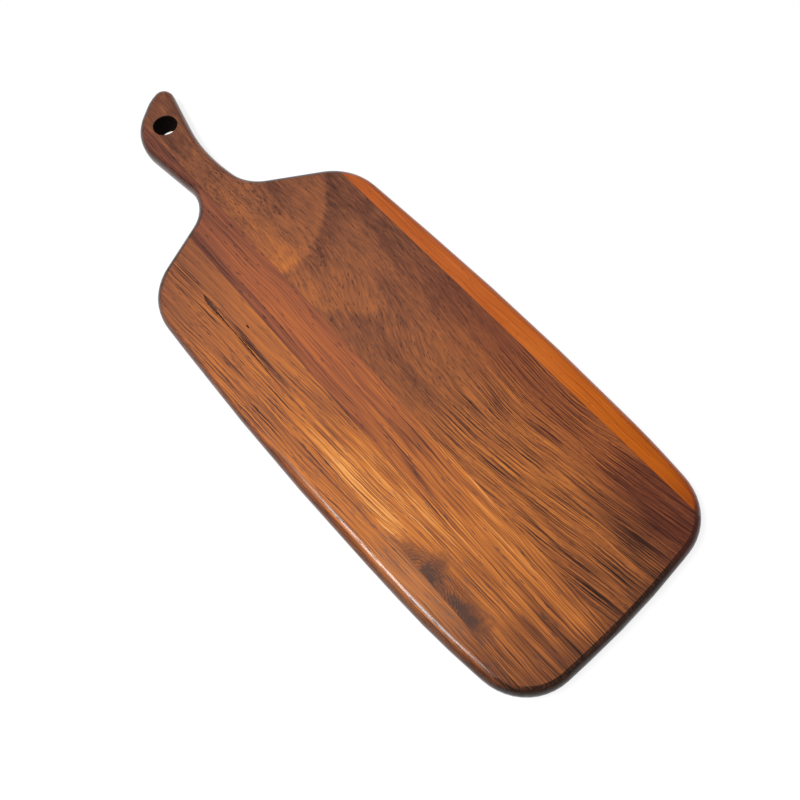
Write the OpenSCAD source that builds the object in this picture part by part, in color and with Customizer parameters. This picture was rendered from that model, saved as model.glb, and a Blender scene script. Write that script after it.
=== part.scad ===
// Paddle charcuterie board, edge-glued from five staves, with a hanging hole in its handle.
// Lengths are in millimetres. The origin lies under the middle of the board, on its underside.
// +Y runs along the grain to the handle's tip, +X to the edge strip and +Z up.

/* [Board] */
// Length over everything, from the bottom end to the handle's tip
board_length = 611; // [590:1:650]
// Length of the body, from the bottom end to the shoulders
body_length = 424; // [404:1:440]
// Width of the body at its widest
body_width = 218.5; // [207:0.5:231]
// Thickness of the board
thickness = 20; // [17:0.5:28]
// Radius of the round-over along the top and bottom edges
edge_radius = 8.5; // [3:0.5:8.5]
// Angle at which the round-over leaves the flat faces, which makes a crisp line around them
edge_break = 15; // [10:1:25]

/* [Handle] */
// Distance of the handle's centre line from the body's, to the right
handle_offset = 4; // [-8:0.5:8]
// Width of the neck between its corner points
neck_width = 37; // [33:0.5:45]
// Width of the handle's end between its corner points
handle_end_width = 61.5; // [56:0.5:72]
// Diameter of the hanging hole
hole_diameter = 22; // [12:0.5:24]
// Distance of the hole's centre from the handle's tip
hole_from_tip = 42; // [35:0.5:60]
// Width of the chamfer that eases the hole's rims
hole_chamfer = 0.4; // [0.2:0.1:1.5]

/* [Glue-up] */
// Distance from the handle's centre line to the glue line at its left
handle_glue_offset = 14.2; // [14:0.1:17]
// Width of the red stave, at the left of that glue line
red_stave_width = 36.5; // [28:0.5:42]
// Width of the outer stave at the body's left side, next to the stave with the knot
outer_stave_width = 28.4; // [20:0.1:34]
// Width of the strip at the body's right side, next to the wide stave that carries the hole
edge_strip_width = 21; // [16:0.5:30]
// Thickness of each glue line
glue_thickness = 0.2; // [0.1:0.05:0.4]

/* [Corner radii] */
// Radius of the two corners of the bottom end
foot_radius = 43; // [25:1:50]
// Radius of the slight bow of the bottom end
end_bow_radius = 685; // [400:5:900]
// Radius of the bends low on the sides
lower_side_radius = 650; // [400:5:800]
// Radius of the slight bow of the sides
side_bow_radius = 2950; // [1500:50:3500]
// Radius of the two shoulders
shoulder_radius = 53; // [30:1:60]
// Radius of the two hollows where the body runs into the neck
neck_radius = 39; // [25:1:45]
// Radius of the hollow in the neck's right side
waist_radius = 174; // [100:1:200]
// Radius of the handle's tip
tip_radius = 10; // [8:0.5:12]
// Radius of the crown of the handle's end, beside the tip
crown_radius = 45; // [10:1:45]
// Radius of the handle's left end
handle_end_radius = 49; // [30:1:55]

/* [Hand-shaped outline] */
// How far the sides' corner points stand outside the bowed sides
side_corner_out = 2; // [1:0.1:3]
// Distance of the bottom end's lowest corner point from the body's centre line, to the right
end_peak_offset = 12; // [0:1:20]
// How far the right bottom corner is drawn in
right_foot_in = 10.5; // [6:0.5:20]
// How far the left bottom corner is drawn in
left_foot_in = 22; // [16:0.5:30]
// How far the right bottom corner stands above the bottom end
right_foot_up = 11.5; // [4:0.5:16]
// How far the left bottom corner stands above the bottom end
left_foot_up = 1; // [0.5:0.5:8]
// Height of the bends low on the sides
lower_side_up = 76; // [68:1:90]
// How far the right side is drawn in at its bend
right_lower_in = 4.5; // [2:0.5:5.5]
// How far the left side is drawn in at its bend
left_lower_in = 9.5; // [6:0.5:12]
// Height at which the right side is widest
right_widest_up = 213; // [190:1:240]
// Height at which the left side is widest
left_widest_up = 256; // [230:1:280]
// How far the right shoulder is drawn in
right_shoulder_in = 9; // [5:0.5:14]
// How far the left shoulder is drawn in
left_shoulder_in = 4; // [2:0.5:8]
// How much higher the left shoulder stands than the right one
shoulder_skew = 10.5; // [4:0.5:14]
// Rise from the shoulders to the neck
neck_rise = 47; // [42:0.5:52]
// How much higher the neck's left hollow starts than its right one
neck_skew = 5.5; // [0:0.5:8]
// How far the neck's right side is drawn in at its waist
waist_in = 9; // [6:0.5:11]
// Distance of the waist from the handle's tip
waist_from_tip = 87; // [82:0.5:92]
// How far the tip's corner point stands beyond the rounded tip
tip_corner_out = 5.5; // [4:0.5:7]
// Distance of the crown of the handle's end from the handle's centre line, to the right
crown_offset = 5.5; // [2:0.5:8]
// How far the crown lies below the tip
crown_below_tip = 3; // [2:0.5:5]
// How far the handle's left corner point lies below the tip
left_end_below_tip = 32.5; // [26:0.5:38]

/* [Hidden] */

// Flat steps along the arc of a slight bend, along that of a round corner and around the edge's round-over
bend_steps = 3;
corner_steps = 11;
edge_steps = 4;
// Share of a straight run that the arcs at its two ends may take up together
run_share = 0.98;
// How far a cutting shape runs past the face that it cuts
overrun = 1;
// Fineness of the hole, which is a true round bore
$fn = 96;

foot_y = -board_length / 2;
tip_y = board_length / 2;
side_x = body_width / 2 + side_corner_out;
shoulder_y = foot_y + body_length;
neck_y = shoulder_y + neck_rise;
lower_y = foot_y + lower_side_up;
neck_right_x = handle_offset + neck_width / 2;
neck_left_x = handle_offset - neck_width / 2;

// Each glue line is given by its left face. Two are set from the handle and two from the body's sides,
// and the stave with the knot and the wide stave fill the width between them.
handle_glue_x = handle_offset - handle_glue_offset - glue_thickness;
knot_glue_x = handle_glue_x - red_stave_width - glue_thickness;
outer_glue_x = -body_width / 2 + outer_stave_width;
strip_glue_x = body_width / 2 - edge_strip_width - glue_thickness;
// A slab for an outermost stave runs this far from the middle, past the outline.
slab_reach = side_x + overrun;

// Corner points of the outline, each [x, y, radius, steps], anticlockwise from the bottom end.
// Going up, the right side and the left side have the same steps.
bottom_corners = [[end_peak_offset, foot_y, end_bow_radius, bend_steps]];
right_corners = [
    [side_x - right_foot_in, foot_y + right_foot_up, foot_radius, corner_steps],
    [side_x - right_lower_in, lower_y, lower_side_radius, bend_steps],
    [side_x, foot_y + right_widest_up, side_bow_radius, bend_steps],
    [side_x - right_shoulder_in, shoulder_y - shoulder_skew / 2, shoulder_radius, corner_steps],
    [neck_right_x, neck_y - neck_skew / 2, neck_radius, corner_steps],
    [neck_right_x - waist_in, tip_y - waist_from_tip, waist_radius, corner_steps]
];
tip_corners = [
    [handle_offset + handle_end_width / 2, tip_y + tip_corner_out, tip_radius, corner_steps],
    [handle_offset + crown_offset, tip_y - crown_below_tip, crown_radius, bend_steps]
];
left_corners = [
    [handle_offset - handle_end_width / 2, tip_y - left_end_below_tip, handle_end_radius, corner_steps],
    [neck_left_x, neck_y + neck_skew / 2, neck_radius, corner_steps],
    [-side_x + left_shoulder_in, shoulder_y + shoulder_skew / 2, shoulder_radius, corner_steps],
    [-side_x, foot_y + left_widest_up, side_bow_radius, bend_steps],
    [-side_x + left_lower_in, lower_y, lower_side_radius, bend_steps],
    [-side_x + left_foot_in, foot_y + left_foot_up, foot_radius, corner_steps]
];
corners = concat(bottom_corners, right_corners, tip_corners, left_corners);
corner_count = len(corners);

// Geometry of corner i: its runs, its turn (positive to the left), and its arc.
function point(i) = [corners[i % corner_count][0], corners[i % corner_count][1]];
function run(i) = point(i + 1) - point(i + corner_count);
function heading(i) = run(i) / norm(run(i));
function turn(i) =
    let (before = heading(i + corner_count - 1), after = heading(i))
    atan2(cross(before, after), before * after);
// Length of each run that an arc of the full radius takes up.
function full_reach(i) = corners[i % corner_count][2] * tan(abs(turn(i)) / 2);
function run_fit(i) = run_share * norm(run(i)) / (full_reach(i) + full_reach(i + 1));
// An arc is made smaller where the runs beside it are too short for it.
function arc_fit(i) = min(1, run_fit(i), run_fit(i + corner_count - 1));
function arc_radius(i) = corners[i][2] * arc_fit(i);
function arc_start(i) = point(i) - heading(i + corner_count - 1) * full_reach(i) * arc_fit(i);
function left_of(v) = [-v[1], v[0]];
function arc_centre(i) =
    arc_start(i) + sign(turn(i)) * arc_radius(i) * left_of(heading(i + corner_count - 1));

// Points of corner i's arc, on the outline drawn in by inset.
function arc_points(i, inset) =
    let (
        centre = arc_centre(i),
        spoke = arc_start(i) - centre,
        first = atan2(spoke[1], spoke[0]),
        r = arc_radius(i) - sign(turn(i)) * inset,
        steps = corners[i][3]
    )
    [for (k = [0 : steps]) let (a = first + turn(i) * k / steps) centre + r * [cos(a), sin(a)]];

function ring(inset, z) =
    [for (i = [0 : corner_count - 1], p = arc_points(i, inset)) [p[0], p[1], z]];

// The edge's profile from the underside up to the top, as [inset, height].
edge_angles = [for (k = [0 : edge_steps]) edge_break + (90 - edge_break) * k / edge_steps];
lower_profile = [for (a = edge_angles) edge_radius * [1 - sin(a), cos(edge_break) - cos(a)]];
profile = concat(
    lower_profile,
    [for (k = [edge_steps : -1 : 0]) [lower_profile[k][0], thickness - lower_profile[k][1]]]
);

// A flat face is split into convex patches: one at each end, and rungs from side to side between them.
function sum(values, k = 0) = k < len(values) ? values[k] + sum(values, k + 1) : 0;
function point_count(list) = sum([for (corner = list) corner[3] + 1]);
ring_size = point_count(corners);
side_size = point_count(right_corners);
right_first = point_count(bottom_corners);
right_last = right_first + side_size - 1;
left_first = ring_size - side_size;
bottom_patch = concat([ring_size - 1], [for (k = [0 : right_first]) k]);
tip_patch = [for (k = [right_last : left_first]) k];
rungs = [
    for (k = [0 : side_size - 2])
        [right_first + k, right_first + k + 1, ring_size - 2 - k, ring_size - 1 - k]
];
patches = concat([bottom_patch], rungs, [tip_patch]);

function reversed(face) = [for (k = [len(face) - 1 : -1 : 0]) face[k]];
function raised(face, level) = [for (k = face) k + level * ring_size];
function wall(level) = [
    for (k = [0 : ring_size - 1])
        let (
            next = (k + 1) % ring_size,
            low = level * ring_size,
            high = low + ring_size
        )
        [k + high, next + high, next + low, k + low]
];

// The whole board before it is divided into its pieces, with rounded edges and no hole.
module rounded_board() {
    top_level = len(profile) - 1;
    polyhedron(
        points = [for (p = profile) each ring(p[0], p[1])],
        faces = concat(
            patches,
            [for (level = [0 : top_level - 1]) each wall(level)],
            [for (face = patches) reversed(raised(face, top_level))]
        )
    );
}

// The hanging hole with its two eased rims.
module hole_cutter() {
    hole_r = hole_diameter / 2;
    rim_r = hole_r + hole_chamfer + overrun;
    rim_h = hole_chamfer + overrun;
    translate([handle_offset, tip_y - hole_from_tip, 0]) {
        translate([0, 0, -overrun]) cylinder(h = thickness + 2 * overrun, r = hole_r);
        translate([0, 0, -overrun]) cylinder(h = rim_h, r1 = rim_r, r2 = hole_r);
        translate([0, 0, thickness - hole_chamfer]) cylinder(h = rim_h, r1 = hole_r, r2 = rim_r);
    }
}

// The part of the board between two planes square to X.
module slice(left_x, right_x) {
    intersection() {
        rounded_board();
        translate([left_x, foot_y - overrun, -overrun])
            cube([right_x - left_x, board_length + 2 * overrun, thickness + 2 * overrun]);
    }
}

module outer_stave() { color("peru") slice(-slab_reach, outer_glue_x); }
module knot_stave() { color("chocolate") slice(outer_glue_x + glue_thickness, knot_glue_x); }
module red_stave() { color("sienna") slice(knot_glue_x + glue_thickness, handle_glue_x); }
module edge_strip() { color("darkorange") slice(strip_glue_x + glue_thickness, slab_reach); }

// The wide stave is the only one that the hole is bored through.
module handle_stave() {
    color("saddlebrown") difference() {
        slice(handle_glue_x + glue_thickness, strip_glue_x);
        hole_cutter();
    }
}

module glue_line(left_x) { color("burlywood") slice(left_x, left_x + glue_thickness); }
module outer_glue_line() { glue_line(outer_glue_x); }
module knot_glue_line() { glue_line(knot_glue_x); }
module handle_glue_line() { glue_line(handle_glue_x); }
module strip_glue_line() { glue_line(strip_glue_x); }

outer_stave();
knot_stave();
red_stave();
handle_stave();
edge_strip();
outer_glue_line();
knot_glue_line();
handle_glue_line();
strip_glue_line();
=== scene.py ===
"""Looks of the paddle charcuterie board: oiled staves of figured wood on a white table."""

import math
import random

import bmesh
import bpy
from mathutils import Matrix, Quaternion, Vector


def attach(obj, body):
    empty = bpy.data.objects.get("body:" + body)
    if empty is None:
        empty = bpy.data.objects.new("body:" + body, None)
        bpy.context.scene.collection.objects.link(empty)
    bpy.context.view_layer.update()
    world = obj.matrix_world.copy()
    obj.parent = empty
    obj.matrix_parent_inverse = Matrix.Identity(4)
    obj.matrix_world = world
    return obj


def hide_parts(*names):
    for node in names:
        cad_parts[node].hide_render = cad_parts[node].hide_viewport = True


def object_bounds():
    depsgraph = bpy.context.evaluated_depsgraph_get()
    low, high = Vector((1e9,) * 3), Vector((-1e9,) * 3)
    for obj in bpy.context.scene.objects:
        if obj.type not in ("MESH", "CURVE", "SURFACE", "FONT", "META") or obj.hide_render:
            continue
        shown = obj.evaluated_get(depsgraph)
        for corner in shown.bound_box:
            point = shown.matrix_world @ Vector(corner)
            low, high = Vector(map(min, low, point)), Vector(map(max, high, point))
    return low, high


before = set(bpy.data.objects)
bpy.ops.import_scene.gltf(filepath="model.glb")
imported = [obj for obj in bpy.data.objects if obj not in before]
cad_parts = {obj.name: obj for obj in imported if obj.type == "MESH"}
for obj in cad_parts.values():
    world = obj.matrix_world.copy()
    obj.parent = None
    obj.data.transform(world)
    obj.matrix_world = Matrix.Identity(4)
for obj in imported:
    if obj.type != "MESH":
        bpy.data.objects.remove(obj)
cad_low, cad_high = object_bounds()

# Sizes are in millimetres in the board's frame, and they turn into metres where Blender takes them.
MM = 0.001
TOP_Z = cad_high.z / MM
HOLE_X = 4.0
HOLE_Y = 263.5
HOLE_RADIUS = 11.0


# Node graphs

def linear(red, green, blue):
    """A colour given as 0 to 255 display values, as the linear values that shaders take."""
    def channel(value):
        share = value / 255
        return share / 12.92 if share <= 0.04045 else ((share + 0.055) / 1.055) ** 2.4
    return (channel(red), channel(green), channel(blue), 1.0)


class Graph:
    """One material's nodes. Most methods add nodes and give back an output socket."""

    def __init__(self, name):
        self.material = bpy.data.materials.new(name)
        self.material.use_nodes = True
        self.tree = self.material.node_tree
        self.tree.nodes.clear()

    def node(self, kind, inputs=(), **settings):
        made = self.tree.nodes.new(kind)
        for key, value in settings.items():
            setattr(made, key, value)
        for key, value in dict(inputs).items():
            self.feed(made.inputs[key], value)
        return made

    def feed(self, socket, value):
        if isinstance(value, bpy.types.NodeSocket):
            self.tree.links.new(value, socket)
        else:
            socket.default_value = value

    def math(self, operation, *values):
        return self.node("ShaderNodeMath", enumerate(values), operation=operation).outputs[0]

    def subtract(self, a, b):
        return self.math("SUBTRACT", a, b)

    def times(self, first, *others):
        for other in others:
            first = self.math("MULTIPLY", first, other)
        return first

    def total(self, first, *others):
        for other in others:
            first = self.math("ADD", first, other)
        return first

    def rise(self, value, low, high):
        """0 below low, 1 above high, and a smooth step between them."""
        inputs = {"Value": value, "From Min": low, "From Max": high}
        return self.node("ShaderNodeMapRange", inputs, interpolation_type="SMOOTHSTEP").outputs[0]

    def fall(self, value, low, high):
        return self.subtract(1.0, self.rise(value, low, high))

    def between(self, value, low, high, soft):
        """1 between low and high, fading out over soft on either side."""
        up = self.rise(value, low - soft, low + soft)
        return self.times(up, self.fall(value, high - soft, high + soft))

    def held(self, value, low, high, soft):
        """The value, held between low and high with soft corners."""
        return self.math("SMOOTH_MIN", self.math("SMOOTH_MAX", value, low, soft), high, soft)

    def mix(self, share, a, b, blend="MIX"):
        """Two colours mixed by share. The numbers are the Mix node's sockets for colours."""
        inputs = {0: share, 6: a, 7: b}
        return self.node("ShaderNodeMix", inputs, data_type="RGBA", blend_type=blend).outputs[2]

    def vector(self, x, y, z):
        return self.node("ShaderNodeCombineXYZ", enumerate((x, y, z))).outputs[0]

    def ramp(self, value, stops, interpolation="LINEAR"):
        made = self.node("ShaderNodeValToRGB", {0: value})
        made.color_ramp.interpolation = interpolation
        elements = made.color_ramp.elements
        while len(elements) < len(stops):
            elements.new(1.0)
        for element, (place, colour) in zip(elements, stops):
            element.position = place
            element.color = colour
        return made.outputs[0]

    def output(self, shader):
        self.node("ShaderNodeOutputMaterial", {0: shader.outputs[0]})
        return self.material


# How a surface's normal tells its parts apart: a ridge lies within its pair, and the others fade over theirs.

END_GRAIN_FACING = (0.2, 0.45)
RIGHT_FACING = (0.2, 0.7)
SIDE_LEVEL = (0.6, 0.97)
ARRIS_LEVEL = (0.96, 0.998)
ARRIS_BLUR = 0.001


# Grain and pores: a shift sets each draw of noise apart, and a gap counts in widths or lengths of a pore.

SWAY = 2.0
NOISE_SHIFT = 17.3
NOISE_ROUGHNESS = 0.65
LINE_BLUR = 0.12
PORE_SHIFT = 11.7
PORE_GAP_ACROSS = 2.5
PORE_GAP_ALONG = 1.6
PORE_RIM = (0.2, 0.36)


# Stains and painted shade: PORE_DARKNESS is taken off the tone, and each other darkness is a share of it.
# WARM_RANGE is in y.

PORE_DARKNESS = 0.32
# EDGE_DARKNESS, RIGHT_EDGE_DARKNESS and the edge tint below are painted shade on the rounded edges.
EDGE_DARKNESS = 0.36
RIGHT_EDGE_DARKNESS = 0.10
END_GRAIN_DARKNESS = 0.48
SPECKLE_SIZE = 1.8
SPECKLE_AMOUNT = 0.08
WARM_RANGE = (-260, 20)
EDGE_SHADE_TINT = (1.0, 0.84, 0.6, 1.0)


# Gloss and relief: the depth is in millimetres, and the relief's strength is the bump's own.

FIBRE_ROUGHNESS = 0.06
PORE_ROUGHNESS = 0.2
ARRIS_POLISH = 0.05
FIBRE_RELIEF = 0.15
RELIEF_STRENGTH = 0.3
RELIEF_DEPTH = 0.1


class Wood(Graph):
    """A stave's material. x, y and z are millimetres in the board's frame.

    swayed is x with the small sideways bends of the fibres. across is x as the fibres follow it: a fibre
    runs where across stays the same, and it leaves the board's length by lean for each millimetre of y.
    """

    def __init__(self, name, seed, lean=0.0):
        super().__init__(name)
        self.seed = seed
        coordinates = self.node("ShaderNodeTexCoord")
        inputs = {0: coordinates.outputs["Object"], "Scale": 1 / MM}
        scaled = self.node("ShaderNodeVectorMath", inputs, operation="SCALE")
        self.x, self.y, self.z = self.node("ShaderNodeSeparateXYZ", {0: scaled.outputs[0]}).outputs
        self.find_edges(coordinates.outputs["Normal"])
        self.across = self.x
        self.swayed = self.total(self.x, self.noise(45, 130, SWAY, detail=1.0), self.noise(12, 45, 0.8))
        self.across = self.math("MULTIPLY_ADD", self.y, -lean, self.swayed)

    def find_edges(self, normal):
        """Where the surface is end grain, rounded edge, ridge or right edge, each 0 to 1."""
        facing_x, facing_y, facing_z = self.node("ShaderNodeSeparateXYZ", {0: normal}).outputs
        level = self.math("ABSOLUTE", facing_z)
        self.end_grain = self.rise(self.math("ABSOLUTE", facing_y), *END_GRAIN_FACING)
        self.side = self.fall(level, *SIDE_LEVEL)
        self.arris = self.between(level, *ARRIS_LEVEL, ARRIS_BLUR)
        self.right_side = self.rise(facing_x, *RIGHT_FACING)

    def noise(self, width, length, amount, detail=3.0):
        """Streaks up to about width wide and length long, from about -amount to amount."""
        self.seed += 1
        place = self.vector(
            self.times(self.across, 1 / width),
            self.times(self.y, 1 / length),
            self.math("MULTIPLY_ADD", self.z, 1 / (2 * width), NOISE_SHIFT * self.seed),
        )
        inputs = {"Vector": place, "Scale": 1.0, "Detail": detail, "Roughness": NOISE_ROUGHNESS}
        made = self.node("ShaderNodeTexNoise", inputs)
        return self.math("MULTIPLY_ADD", made.outputs[0], 4 * amount, -2 * amount)

    def lines(self, width, length, level):
        """Thin lines along the grain, 0 to 1. A higher level leaves fewer of them."""
        return self.rise(self.noise(width, length, 1.0, detail=0.0), level, level + LINE_BLUR)

    def grain(self, amount):
        """Broad streaks, and two layers of fine dark fibres and lines on a lighter ground."""
        fibres = self.math("MINIMUM", self.noise(0.7, 50, 2.6 * amount, detail=0.0), 0.35 * amount)
        hairs = self.math("MINIMUM", self.noise(0.5, 50, 2.0 * amount, detail=0.0), 0.3 * amount)
        dark = self.times(self.lines(0.8, 40, 0.55), -1.1 * amount)
        return self.total(0.65 * amount, self.noise(3, 150, 0.5 * amount), fibres, hairs, dark)

    def pores(self, width, length, share):
        """Short dashes along the grain, 0 to 1. share is how many of their places are filled."""
        self.seed += 1
        cell_width = PORE_GAP_ACROSS * width
        place = self.vector(
            self.times(self.across, 1 / cell_width),
            self.times(self.y, 1 / (PORE_GAP_ALONG * length)),
            self.math("MULTIPLY_ADD", self.z, 1 / (2 * cell_width), PORE_SHIFT * self.seed),
        )
        made = self.node("ShaderNodeTexVoronoi", {"Vector": place, "Scale": 1.0})
        chance = self.node("ShaderNodeSeparateColor", {0: made.outputs["Color"]}).outputs[0]
        filled = self.math("LESS_THAN", chance, share)
        return self.times(filled, self.fall(made.outputs["Distance"], *PORE_RIM))

    def along(self, stops):
        """A tone that changes along the board. Each stop is (y, tone), from the foot to the tip."""
        first, last = stops[0][0], stops[-1][0]
        inputs = {"Value": self.y, "From Min": first, "From Max": last}
        place = self.node("ShaderNodeMapRange", inputs).outputs[0]
        greys = [((y - first) / (last - first), (tone, tone, tone, 1.0)) for y, tone in stops]
        return self.ramp(place, greys, "EASE")

    def reach(self, x, y, half_width, half_length):
        """Distance from a point, as a share of the oval around it."""
        dx = self.times(self.subtract(self.x, x), 1 / half_width)
        dy = self.times(self.subtract(self.y, y), 1 / half_length)
        return self.math("SQRT", self.total(self.times(dx, dx), self.times(dy, dy)))

    def patch(self, x, y, half_width, half_length, soft=0.5):
        """A soft-edged oval, 1 in its middle."""
        return self.fall(self.reach(x, y, half_width, half_length), 1 - soft, 1 + soft)

    def streak(self, x, low, high, width, lean, fade):
        """A line from y = low to y = high, which leaves x by lean for each millimetre of y."""
        centre = self.math("MULTIPLY_ADD", self.subtract(self.y, low), lean, x)
        off = self.math("ABSOLUTE", self.subtract(self.swayed, centre))
        return self.times(self.fall(off, 0.2 * width, width), self.between(self.y, low, high, fade))

    def marked(self, tone, streaks, marks):
        """Adds lighter and darker streaks and patches to the tone. The last value of each is its amount."""
        for *shape, amount in streaks:
            tone = self.total(tone, self.times(self.streak(*shape), amount))
        for *shape, amount in marks:
            tone = self.total(tone, self.times(self.patch(*shape), amount))
        return tone

    def stained_and_shaded(self, tone, dark):
        """The tone, darker in the pores, and darker and speckled on the rounded edges and the end grain.

        The rounded edges are darkened and reddened as painted shade, much less so where they face right.
        """
        shade = self.total(tone, self.times(dark, -PORE_DARKNESS))
        right_change = RIGHT_EDGE_DARKNESS - EDGE_DARKNESS
        # Painted shade on the rounded edges, weaker on those that face right.
        painted_edge_shade = self.math("MULTIPLY_ADD", self.right_side, right_change, EDGE_DARKNESS)
        shade = self.times(shade, self.subtract(1.0, self.times(self.side, painted_edge_shade)))
        shade = self.times(shade, self.subtract(1.0, self.times(self.end_grain, END_GRAIN_DARKNESS)))
        speckle = self.noise(SPECKLE_SIZE, SPECKLE_SIZE, SPECKLE_AMOUNT)
        return self.total(shade, self.times(self.total(self.side, self.end_grain), speckle))

    def finish(self, tone, dark, palettes, tint=None, gloss=0.33, dullness=0.25):
        """Turns the tone into colour and sets gloss and relief. dark is 0 to 1, in pores and dark lines.

        The colour goes from the first palette to the second towards the foot. tint is a share, and a colour
        laid over by it.
        """
        shade = self.stained_and_shaded(tone, dark)
        warmth = self.fall(self.y, *WARM_RANGE)
        colour = self.mix(warmth, self.ramp(shade, palettes[0]), self.ramp(shade, palettes[1]))
        if tint:
            colour = self.mix(tint[0], colour, tint[1])
        # Painted shade: the rounded edges are darkened and reddened.
        colour = self.mix(self.side, colour, EDGE_SHADE_TINT, "MULTIPLY")
        fibre = self.noise(0.9, 25, 0.5, detail=0.0)
        roughness = self.total(
            dullness,
            self.times(fibre, FIBRE_ROUGHNESS),
            self.times(dark, PORE_ROUGHNESS),
            self.times(self.arris, -ARRIS_POLISH),
        )
        height = self.subtract(self.times(fibre, FIBRE_RELIEF), dark)
        relief = {"Strength": RELIEF_STRENGTH, "Distance": RELIEF_DEPTH * MM, "Height": height}
        bump = self.node("ShaderNodeBump", relief)
        return self.output(self.node("ShaderNodeBsdfPrincipled", {
            "Base Color": colour,
            "Roughness": roughness,
            "Normal": bump.outputs[0],
            "Specular IOR Level": gloss,
        }))


# Woods: a tone is about the display value of red, from 0 to 1, and the palette gives the colour for it.

# The grey of a painted sheen laid over the outer stave's lower part.
PAINTED_SHEEN_GREY = linear(150, 136, 122)
KNOT_GREY = linear(88, 72, 66)
PURPLE = linear(112, 40, 28)
BROWN_PALETTE = [
    (0.05, linear(12, 6, 3)),
    (0.20, linear(48, 27, 17)),
    (0.43, linear(109, 65, 48)),
    (0.51, linear(131, 79, 55)),
    (0.61, linear(157, 94, 59)),
    (0.70, linear(179, 105, 59)),
    (0.85, linear(217, 129, 56)),
    (0.97, linear(246, 172, 96)),
]
WARM_PALETTE = [
    (0.05, linear(12, 5, 2)),
    (0.20, linear(46, 24, 13)),
    (0.37, linear(93, 52, 33)),
    (0.49, linear(124, 70, 40)),
    (0.59, linear(150, 86, 43)),
    (0.71, linear(181, 105, 51)),
    (0.85, linear(217, 130, 54)),
    (0.97, linear(246, 176, 100)),
]
RED_PALETTE = [
    (0.05, linear(12, 6, 3)),
    (0.20, linear(48, 26, 18)),
    (0.43, linear(109, 63, 51)),
    (0.51, linear(131, 75, 55)),
    (0.61, linear(157, 89, 60)),
    (0.70, linear(179, 100, 59)),
    (0.85, linear(217, 125, 54)),
    (0.97, linear(246, 168, 96)),
]
ORANGE_PALETTE = [
    (0.10, linear(30, 12, 6)),
    (0.45, linear(112, 50, 20)),
    (0.65, linear(168, 80, 32)),
    (0.75, linear(194, 97, 38)),
    (0.90, linear(228, 130, 60)),
]
DEEP_ORANGE_PALETTE = [
    (0.10, linear(30, 11, 4)),
    (0.45, linear(112, 48, 10)),
    (0.65, linear(168, 77, 4)),
    (0.75, linear(194, 95, 6)),
    (0.90, linear(228, 130, 40)),
]


# Each wood's colours: its palette near the handle, and the one near the foot.

BROWN_WOOD = (BROWN_PALETTE, WARM_PALETTE)
RED_WOOD = (RED_PALETTE, WARM_PALETTE)
ORANGE_WOOD = (ORANGE_PALETTE, DEEP_ORANGE_PALETTE)


# Tones along the staves: each is (y, tone), from the foot to the tip.

# Their fall towards the foot and the tip is partly the wood's own tone and partly painted shade around a
# brighter middle.
OUTER_STAVE_TONES = (
    (-300, 0.38), (-250, 0.53), (-200, 0.67), (-140, 0.70),
    (-80, 0.70), (-20, 0.68), (40, 0.66), (135, 0.57),
)
KNOT_STAVE_TONES = (
    (-300, 0.43), (-275, 0.53), (-240, 0.67), (-180, 0.74), (-150, 0.79),
    (-110, 0.78), (-60, 0.73), (20, 0.70), (80, 0.64), (150, 0.56),
)
RED_STAVE_TONES = (
    (-300, 0.48), (-280, 0.64), (-220, 0.74), (-160, 0.70), (-100, 0.69), (-40, 0.67),
    (20, 0.68), (80, 0.65), (140, 0.57), (200, 0.49), (285, 0.44),
)
HANDLE_STAVE_TONES = (
    (-305, 0.43), (-285, 0.48), (-255, 0.59), (-225, 0.63), (-140, 0.62), (-90, 0.60), (-40, 0.58),
    (40, 0.58), (140, 0.53), (190, 0.50), (220, 0.52), (250, 0.50), (300, 0.48),
)
EDGE_STRIP_TONES = (
    (-290, 0.62), (-240, 0.72), (-180, 0.77), (-120, 0.785), (-60, 0.77), (0, 0.75), (120, 0.715),
)


# Streaks: each is (x, lower y, upper y, width, lean, fade, amount).

KNOT_STAVE_STREAKS = (
    (-76, -150, -5, 4.0, 0.0, 30, 0.05),
)
RED_STAVE_STREAKS = (
    (-37, -185, -75, 3.0, 0.07, 15, 0.09),
    (-37.4, -305, -262, 2.4, -0.05, 15, -0.20),
)
HANDLE_STAVE_STREAKS = (
    (15, -190, -120, 2.5, -0.1, 15, 0.10),
    (32, -292, -248, 3.0, -0.1, 15, 0.10),
    (3, -262, -200, 1.6, -0.05, 15, -0.22),
    (53, -187, -168, 1.8, -0.1, 4, -0.22),
    (-5.5, 210, 268, 4.0, 0.0, 15, -0.07),
)


# Lighter and darker patches: each is (x, y, half width, half length, amount).

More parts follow.
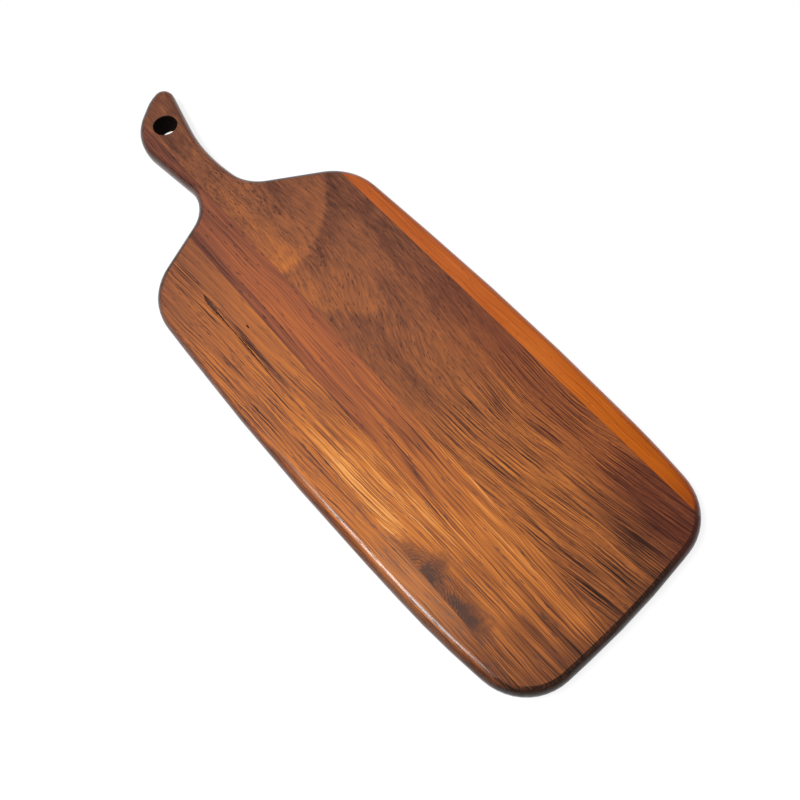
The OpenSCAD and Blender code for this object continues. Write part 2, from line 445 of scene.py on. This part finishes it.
KNOT_STAVE_MARKS = (
    (-76, 110, 8, 25, -0.09),
    (-76, 60, 7, 20, -0.04),
    (-56, 105, 9, 30, -0.035),
    (-56, -60, 8, 25, -0.06),
    (-76, -115, 8, 45, 0.12),
    (-56, -180, 8, 22, 0.04),
    (-56, -240, 9, 18, 0.05),
    (-76, -272, 8, 16, 0.05),
)
RED_STAVE_MARKS = (
    (-28, -130, 9, 55, -0.045),
    (-43, -240, 6, 25, -0.04),
    (-15, -288, 7, 14, 0.045),
    (-28, -288, 8, 12, 0.04),
    (-43, -292, 6, 14, -0.07),
    (-15, 50, 7, 90, -0.065),
    (-15, -160, 7, 35, 0.05),
    (-43, -60, 5, 30, -0.03),
)
HANDLE_STAVE_MARKS = (
    (0, -65, 14, 45, -0.05),
    (0, 20, 12, 35, 0.035),
    (25, -5, 12, 13, 0.06),
    (50, 20, 12, 15, 0.03),
    (78, -180, 10, 28, 0.07),
    (25, -140, 12, 25, -0.035),
    (0, -250, 10, 18, -0.03),
    (78, 0, 10, 20, 0.025),
    (50, -290, 14, 14, 0.03),
    (5, 245, 20, 25, -0.04),
    (25, 95, 14, 25, -0.035),
    (78, 105, 12, 25, 0.04),
    (78, -278, 14, 16, 0.07),
    (50, -288, 16, 12, 0.06),
    (30, 135, 16, 16, -0.05),
    (8, 188, 14, 16, -0.04),
)


# The knot's lobes: each is (x, y, half width, half length, darkness).

KNOT_LOBES = (
    (-79, -178, 6, 13, 0.17),
    (-76, -195, 12, 8, 0.19),
    (-79, -208, 7, 14, 0.16),
    (-77, -230, 7, 12, 0.26),
    (-76, -244, 9, 8, 0.10),
    (-73, -212, 15, 38, 0.05),
)


def outer_wood():
    """The outer stave: short dark dashes, calmer towards the handle, and a painted grey sheen in its lower
    part.
    """
    wood = Wood("outer_wood", seed=1, lean=-0.06)
    calm = wood.math("MULTIPLY_ADD", wood.rise(wood.y, 20, 90), -0.5, 1.0)
    tone = wood.total(
        wood.along(OUTER_STAVE_TONES),
        wood.noise(7, 160, 0.07),
        wood.times(wood.grain(0.09), calm),
    )
    # Painted sheen: a grey reflection tinted over the lower part of the stave.
    sheen_patch = wood.patch(-92, -200, 60, 41, soft=0.4)
    painted_sheen = wood.times(sheen_patch, wood.subtract(0.10, wood.noise(0.9, 9, 0.1)))
    return wood.finish(tone, wood.pores(0.34, 7, 0.35), BROWN_WOOD, tint=(painted_sheen, PAINTED_SHEEN_GREY))


def around_knot(wood):
    """Bends the knot stave's fibres round the knot, which the outer glue line cuts through."""
    near = wood.times(wood.fall(wood.x, -85, -35), wood.fall(wood.y, -190, -110))
    wood.across = wood.subtract(wood.across, wood.times(near, 4.0))


def knot_cloud(wood):
    """How dark the knot's lobes are, which run into each other with ragged borders. It is 0 outside them."""
    ragged = wood.noise(6, 6, 0.35)
    cloud = 0.0
    for *oval, darkness in KNOT_LOBES:
        reach = wood.total(wood.reach(*oval), ragged)
        cloud = wood.total(wood.times(wood.fall(reach, 0.2, 1.6), darkness), cloud)
    return cloud


def knot_swirl(wood):
    """Fine rings round the knot, -1 to 1, which fade out away from it."""
    distance = wood.total(wood.reach(-88, -203, 1.0, 1.5), wood.noise(5, 7, 1.2))
    rings = wood.math("SINE", wood.times(distance, 3.6))
    return wood.times(rings, wood.fall(distance, 14, 30))


def knot_wood():
    """The knot stave: ragged dark wood beside the crack, and fibres that end at the knot's cloud."""
    wood = Wood("knot_wood", seed=20, lean=-0.05)
    around_knot(wood)
    beside_crack = wood.streak(-67, -25, 50, 3.0, lean=0.0, fade=15)
    cloud = knot_cloud(wood)
    straight = wood.fall(cloud, 0.02, 0.16)
    plain = wood.times(wood.rise(wood.y, -40, 30), wood.rise(wood.x, -72, -62), 0.55)
    calm = wood.subtract(1.0, plain)
    fibres = wood.total(wood.noise(6, 170, 0.08), wood.times(wood.grain(0.09), calm))
    tone = wood.total(
        wood.along(KNOT_STAVE_TONES),
        wood.times(fibres, straight),
        wood.times(knot_swirl(wood), 0.09),
        wood.times(beside_crack, wood.subtract(wood.noise(0.8, 14, 0.2), 0.25)),
        wood.times(cloud, -1.0),
    )
    tone = wood.marked(tone, KNOT_STAVE_STREAKS, KNOT_STAVE_MARKS)
    pores = wood.times(wood.pores(0.34, 7, 0.3), straight, calm)
    return wood.finish(tone, pores, BROWN_WOOD, tint=(wood.times(cloud, 1.3), KNOT_GREY))


def red_wood():
    """The red stave: fine grain, coarser in its lower part, and a dark stripe along its left side."""
    wood = Wood("red_wood", seed=40)
    stripe = wood.times(wood.fall(wood.across, -42, -39), wood.rise(wood.y, -140, 30))
    tone = wood.total(
        wood.along(RED_STAVE_TONES),
        wood.noise(5, 220, 0.09),
        wood.grain(0.045),
        wood.times(wood.fall(wood.y, -140, -20), wood.grain(0.075)),
        wood.times(stripe, -0.11),
    )
    tone = wood.marked(tone, RED_STAVE_STREAKS, RED_STAVE_MARKS)
    return wood.finish(tone, wood.pores(0.42, 6, 0.12), RED_WOOD)


LEAN_BLUR = 40.0


def lean_handle_grain(wood):
    """Fibres lean to the right in the middle of the wide stave and to the left in its lower third."""
    lower = wood.math("SMOOTH_MIN", wood.total(wood.y, 158.0), 0.0, LEAN_BLUR)
    middle = wood.held(wood.total(wood.y, 60.0), 0.0, 120.0, LEAN_BLUR)
    right = wood.held(wood.total(wood.y, 150.0), 0.0, 200.0, LEAN_BLUR)
    wood.across = wood.total(
        wood.across,
        wood.times(lower, 0.16),
        wood.times(middle, wood.fall(wood.x, 20, 60), -0.22),
        wood.times(right, wood.rise(wood.x, 15, 45), -0.11),
    )


def cathedral_figure(wood):
    """Two curved borders between growth rings: how much lighter or darker the wood is along them."""
    bow = wood.math("MULTIPLY_ADD", wood.times(wood.x, wood.x), 0.0095, 62.5)
    above = wood.total(wood.subtract(wood.y, bow), wood.noise(9, 9, 3.0))
    golden = wood.times(wood.rise(above, -3, 5), wood.fall(above, 0, 75))
    shadow = wood.times(wood.fall(above, -4, 5), wood.rise(above, -36, -4))
    slope = wood.math("ABSOLUTE", wood.subtract(wood.x, 22.0))
    inside = wood.subtract(wood.total(wood.y, 14.0), wood.times(slope, 1.05))
    inside = wood.total(inside, wood.noise(9, 9, 4.0))
    below_vee = wood.times(wood.fall(inside, -4, 5), wood.rise(inside, -60, -6))
    left = wood.fall(wood.x, 0, 30)
    return wood.total(
        wood.times(golden, wood.math("MULTIPLY_ADD", left, 0.07, 0.06)),
        wood.times(shadow, wood.math("MULTIPLY_ADD", left, 0.06, -0.08)),
        wood.times(below_vee, wood.math("MULTIPLY_ADD", left, -0.06, -0.03)),
    )


def handle_shading(wood):
    """Broad lighter and darker parts of the wide stave."""
    purple = wood.rise(wood.x, 58, 72)
    dark_corner = wood.times(wood.rise(wood.x, 24, 48), wood.fall(wood.y, -245, -208))
    right = wood.times(wood.rise(wood.x, 15, 45), wood.rise(wood.y, -80, -30))
    left = wood.times(wood.fall(wood.x, -5, 12), wood.between(wood.y, -230, 170, 30))
    return wood.total(
        wood.times(purple, wood.math("MULTIPLY_ADD", wood.rise(wood.y, -130, -60), -0.03, -0.05)),
        wood.times(dark_corner, -0.15),
        wood.times(right, -0.03),
        wood.times(left, 0.03),
    )


def handle_pores(wood, lower, coarse):
    """Fine pores, fewer at the handle's tip, with dark lines in the lower part and wide pores at the neck."""
    strength = wood.math("MULTIPLY_ADD", wood.fall(wood.y, 225, 250), 0.45, 0.15)
    fine = wood.times(wood.pores(0.32, 4, 0.5), strength)
    lines = wood.times(wood.lines(0.8, 22, 0.6), lower, 0.35)
    wide = wood.times(wood.pores(0.5, 4, 0.45), coarse, 0.7)
    return wood.math("MAXIMUM", fine, wood.total(lines, wide))


DARKEST_TONE = 0.22
DARKEST_BLUR = 0.12


def handle_wood():
    """The wide stave: curved figure above, coarse dark lines below, and wide pores at the neck."""
    wood = Wood("handle_wood", seed=60)
    lean_handle_grain(wood)
    lower = wood.fall(wood.y, -140, -70)
    coarse = wood.times(wood.between(wood.y, 115, 235, 25), wood.fall(wood.x, 10, 40))
    tone = wood.total(
        wood.along(HANDLE_STAVE_TONES),
        cathedral_figure(wood),
        wood.noise(9, 200, 0.05),
        wood.times(wood.grain(0.12), lower),
        wood.times(wood.noise(0.8, 10, 0.07, detail=0.0), wood.subtract(1.0, lower)),
        wood.noise(3.0, 60, 0.04),
        handle_shading(wood),
        wood.times(coarse, 0.035),
    )
    tone = wood.marked(tone, HANDLE_STAVE_STREAKS, HANDLE_STAVE_MARKS)
    tone = wood.math("SMOOTH_MAX", tone, DARKEST_TONE, DARKEST_BLUR)
    pores = handle_pores(wood, lower, coarse)
    purple = wood.times(wood.rise(wood.x, 30, 75), wood.fall(wood.y, -130, 60), 0.3)
    return wood.finish(tone, pores, BROWN_WOOD, tint=(purple, PURPLE))


def strip_wood():
    """The edge strip: even and orange, with faint grain."""
    wood = Wood("strip_wood", seed=80)
    tone = wood.total(wood.along(EDGE_STRIP_TONES), wood.noise(6, 200, 0.03), wood.grain(0.025))
    pores = wood.times(wood.pores(0.4, 4, 0.12), 0.35)
    return wood.finish(tone, pores, ORANGE_WOOD)


def glue():
    """Dried glue between two staves, scraped flush: brown and mottled along the line."""
    wood = Wood("glue", seed=100)
    tone = wood.total(0.42, wood.noise(3, 30, 0.08))
    return wood.finish(tone, wood.pores(0.4, 5, 0.1), BROWN_WOOD)


def bark_and_shade():
    """The crack's and the pit's walls: rough and matt, grey bark in the crack's wide end, and nearly black
    below as painted shade deep in the narrow crack and the pit.
    """
    wood = Wood("bark_and_shade", seed=120)
    # Painted shade: nearly black below the crack's wide end, in the narrow crack and the pit.
    tone = wood.total(0.12, wood.times(wood.rise(wood.y, 62, 70), 0.32), wood.noise(0.8, 5, 0.14))
    grey = wood.times(tone, 0.9)
    pores = wood.pores(0.4, 2, 0.4)
    return wood.finish(tone, pores, BROWN_WOOD, tint=(grey, KNOT_GREY), gloss=0.1, dullness=0.7)


def painted_bore_shade():
    """The bore's wall, painted nearly black as the shade inside the hole: matt, with faint turns along it."""
    wood = Wood("painted_bore_shade", seed=140)
    turns = wood.times(wood.math("SINE", wood.times(wood.z, 9.0)), 0.01)
    tone = wood.total(0.12, turns, wood.noise(2, 2, 0.05))
    pores = wood.pores(0.4, 2, 0.3)
    return wood.finish(tone, pores, BROWN_WOOD, gloss=0.05, dullness=0.75)


# Pieces: smooth copies of the staves, whose rounded edges shade as one curve up to a crisp line.

SMOOTH_ANGLE = math.radians(35)
FLAT = 0.999
ALONG = 0.94
ARRIS_EASE = 0.7
WORN_ARRIS_EASE = 1.5
ARRIS_SEGMENTS = 3
MERGE_DISTANCE = 0.001
WALL_LEVEL = 0.5
WALL_MARGIN = 0.1


def is_flat(face):
    return abs(face.normal.z) > FLAT


def is_long_arris(edge):
    """Whether the edge runs along the board, on the line where a flat face meets the round-over."""
    if not edge.is_manifold or edge.calc_face_angle() > SMOOTH_ANGLE:
        return False
    run = edge.verts[1].co - edge.verts[0].co
    meets_flat = is_flat(edge.link_faces[0]) != is_flat(edge.link_faces[1])
    return meets_flat and abs(run.y) > ALONG * run.length


def shades_smoothly(edge):
    """Whether the edge lies within one curve or one flat face, and not on the line between them."""
    if not edge.is_manifold or edge.calc_face_angle() > SMOOTH_ANGLE:
        return False
    return is_flat(edge.link_faces[0]) == is_flat(edge.link_faces[1])


def smooth_mesh(node_name, ease):
    """The node's mesh with its long ridges eased, which shades smoothly within each curve."""
    shape = bmesh.new()
    shape.from_mesh(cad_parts[node_name].data)
    bmesh.ops.remove_doubles(shape, verts=shape.verts, dist=MERGE_DISTANCE * MM)
    bmesh.ops.bevel(
        shape,
        geom=[edge for edge in shape.edges if is_long_arris(edge)],
        offset=ease * MM,
        segments=ARRIS_SEGMENTS,
        profile=0.5,
        affect="EDGES",
        clamp_overlap=False,
    )
    for edge in shape.edges:
        edge.smooth = shades_smoothly(edge)
    for face in shape.faces:
        face.smooth = True
    mesh = bpy.data.meshes.new(node_name + "_smooth")
    shape.to_mesh(mesh)
    shape.free()
    return mesh


def smooth_copy(node_name, material, ease=ARRIS_EASE):
    """A smooth piece that stands for the node."""
    mesh = smooth_mesh(node_name, ease)
    mesh.materials.append(material)
    piece = bpy.data.objects.new(node_name + "_wood", mesh)
    bpy.context.scene.collection.objects.link(piece)
    normals = piece.modifiers.new("even_normals", "WEIGHTED_NORMAL")
    normals.keep_sharp = True
    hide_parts(node_name)
    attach(piece, "root")
    return piece


def line_bore(piece, material):
    """Gives the wall of the hanging hole its own material, painted dark as shade, and leaves its eased rims
    as they are.
    """
    piece.data.materials.append(material)
    axis = Vector((HOLE_X, HOLE_Y)) * MM
    for face in piece.data.polygons:
        is_wall = abs(face.normal.z) < WALL_LEVEL
        if is_wall and (face.center.xy - axis).length < (HOLE_RADIUS + WALL_MARGIN) * MM:
            face.material_index = 1


# The crack and the pit: each row is (y, x, half width) along the opening, from its upper end down.

CRACK_ROWS = (
    (92, -69.5, 0.2), (87, -70.0, 1.9), (80, -70.4, 2.2), (73, -70.6, 1.7),
    (67, -70.5, 0.9), (60, -70.6, 0.5), (46, -70.5, 0.4), (34, -70.3, 0.6),
    (24, -70.2, 0.7), (12, -70.6, 0.4), (-4, -70.9, 0.35), (-22, -70.8, 0.1),
)
PIT_ROWS = (
    (46.4, -59.3, 0.1), (44.8, -59.5, 0.9), (43.0, -59.6, 0.8), (41.4, -59.7, 0.1),
)
CRACK_DEPTH = 1.0
CRACK_STEEPNESS = 3
CRACK_STEP = 1.2
FEWEST_STEPS = 3
RAGGEDNESS = 0.4
CUT_ABOVE = 0.5


def row_at(rows, y):
    """The opening's x and half width at y, on the straight run between two rows."""
    for (y0, x0, half0), (y1, x1, half1) in zip(rows, rows[1:]):
        if y >= y1:
            share = (y0 - y) / (y0 - y1)
            return x0 + share * (x1 - x0), half0 + share * (half1 - half0)
    return rows[-1][1:]


def groove_points(rows, seed):
    """Three points for each step along the opening: its left and right borders and its bottom."""
    chance = random.Random(seed)
    first, last = rows[0][0], rows[-1][0]
    steps = max(FEWEST_STEPS, round((first - last) / CRACK_STEP))
    points = []
    for k in range(steps + 1):
        y = first + (last - first) * k / steps
        x, half = row_at(rows, y)
        left = half * (1 + RAGGEDNESS * chance.uniform(-1, 1))
        right = half * (1 + RAGGEDNESS * chance.uniform(-1, 1))
        points.append((x - left, y, TOP_Z + CUT_ABOVE))
        points.append((x + right, y, TOP_Z + CUT_ABOVE))
        points.append((x, y, TOP_Z - min(CRACK_DEPTH, CRACK_STEEPNESS * half)))
    return points


def groove_cutter(name, rows, material, seed):
    """A ragged wedge that cuts an opening into the top face."""
    points = groove_points(rows, seed)
    end = len(points) - 3
    faces = [(0, 1, 2), (end + 2, end + 1, end)]
    for k in range(0, end, 3):
        for a, b in ((1, 0), (2, 1), (0, 2)):
            faces.append((k + a, k + b, k + 3 + b, k + 3 + a))
    mesh = bpy.data.meshes.new(name)
    mesh.from_pydata([Vector(point) * MM for point in points], [], faces)
    mesh.materials.append(material)
    cutter = bpy.data.objects.new(name, mesh)
    bpy.context.scene.collection.objects.link(cutter)
    return cutter


def cut_into(piece, cutter, material):
    """Cuts the opening into the piece's own mesh, with the cutter's material on its walls."""
    piece.data.materials.append(material)
    cut = piece.modifiers.new("cut", "BOOLEAN")
    cut.object = cutter
    cut.solver = "EXACT"
    cut.material_mode = "TRANSFER"
    while piece.modifiers[0] != cut:
        piece.modifiers.move(piece.modifiers.find("cut"), 0)
    normals = piece.modifiers["even_normals"]
    normals.show_viewport = False
    depsgraph = bpy.context.evaluated_depsgraph_get()
    mesh = bpy.data.meshes.new_from_object(piece.evaluated_get(depsgraph))
    piece.modifiers.remove(cut)
    normals.show_viewport = True
    piece.data = mesh
    bpy.data.objects.remove(cutter)


smooth_copy("outer_stave", outer_wood(), WORN_ARRIS_EASE)
knot_stave = smooth_copy("knot_stave", knot_wood())
smooth_copy("red_stave", red_wood())
handle_stave = smooth_copy("handle_stave", handle_wood())
# The hole's wall is painted nearly black as shade.
line_bore(handle_stave, painted_bore_shade())
smooth_copy("edge_strip", strip_wood())

bark_and_shade_material = bark_and_shade()
for seed, (name, rows) in enumerate((("crack", CRACK_ROWS), ("pit", PIT_ROWS))):
    cut_into(knot_stave, groove_cutter(name, rows, bark_and_shade_material, seed), bark_and_shade_material)

glue_material = glue()
for line in ("outer_glue_line", "knot_glue_line", "handle_glue_line", "strip_glue_line"):
    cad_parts[line].data.materials[0] = glue_material


# Stage: a white table, a soft lamp at the left and an even sky

FLOOR_SIZE = 8000
FLOOR_DROP = 0.05
FLOOR_WHITE = 0.25
WHITE_FILL = 0.82


def white_table():
    """A matt floor that also shines white to the camera and in reflections, and lights nothing by that."""
    graph = Graph("white_table")
    rays = graph.node("ShaderNodeLightPath").outputs
    mirrored = graph.math("MAXIMUM", rays["Is Glossy Ray"], rays["Is Transmission Ray"])
    seen = graph.math("MAXIMUM", rays["Is Camera Ray"], mirrored)
    matt = graph.node("ShaderNodeBsdfDiffuse", {"Color": (FLOOR_WHITE, FLOOR_WHITE, FLOOR_WHITE, 1.0)})
    fill = graph.node("ShaderNodeEmission", {"Strength": graph.times(seen, WHITE_FILL)})
    graph.output(graph.node("ShaderNodeAddShader", {0: matt.outputs[0], 1: fill.outputs[0]}))
    mesh = bpy.data.meshes.new("floor")
    half = FLOOR_SIZE * MM / 2
    corners = [(-half, -half, 0), (half, -half, 0), (half, half, 0), (-half, half, 0)]
    mesh.from_pydata(corners, [], [(0, 1, 2, 3)])
    mesh.materials.append(graph.material)
    floor = bpy.data.objects.new("floor", mesh)
    floor.location.z = -FLOOR_DROP * MM
    bpy.context.scene.collection.objects.link(floor)


def soft_lamp(name, place, aim, width, height, power):
    lamp = bpy.data.lights.new(name, "AREA")
    lamp.shape = "RECTANGLE"
    lamp.size = width * MM
    lamp.size_y = height * MM
    lamp.energy = power
    holder = bpy.data.objects.new(name, lamp)
    holder.location = Vector(place) * MM
    holder.rotation_euler = (Vector(aim) - Vector(place)).to_track_quat("-Z", "Y").to_euler()
    bpy.context.scene.collection.objects.link(holder)


def even_sky(strength):
    sky = bpy.data.worlds.new("sky")
    sky.use_nodes = True
    inputs = sky.node_tree.nodes["Background"].inputs
    inputs["Color"].default_value = (1.0, 1.0, 1.0, 1.0)
    inputs["Strength"].default_value = strength
    bpy.context.scene.world = sky


white_table()
soft_lamp("window", place=(-560, 60, 1400), aim=(0, -40, 0), width=600, height=360, power=17)
even_sky(strength=0.3)


# Camera: a view from above the board's lower left, with a slight roll

CAMERA_PLACE = (-129.0, -284.6, 551.6)
CAMERA_AIM = (-6.6, -78.4, 4.6)
CAMERA_ROLL = -10.0
CAMERA_LENS = 35.15
SENSOR_WIDTH = 36.0


def photo_camera():
    data = bpy.data.cameras.new("camera")
    data.lens = CAMERA_LENS
    data.sensor_width = SENSOR_WIDTH
    camera = bpy.data.objects.new("camera", data)
    camera.location = Vector(CAMERA_PLACE) * MM
    level = (Vector(CAMERA_AIM) - Vector(CAMERA_PLACE)).to_track_quat("-Z", "Y")
    roll = Quaternion((0, 0, 1), math.radians(CAMERA_ROLL))
    camera.rotation_euler = (level @ roll).to_euler()
    bpy.context.scene.collection.objects.link(camera)
    bpy.context.scene.camera = camera


photo_camera()
bpy.context.scene.view_settings.view_transform = "Standard"
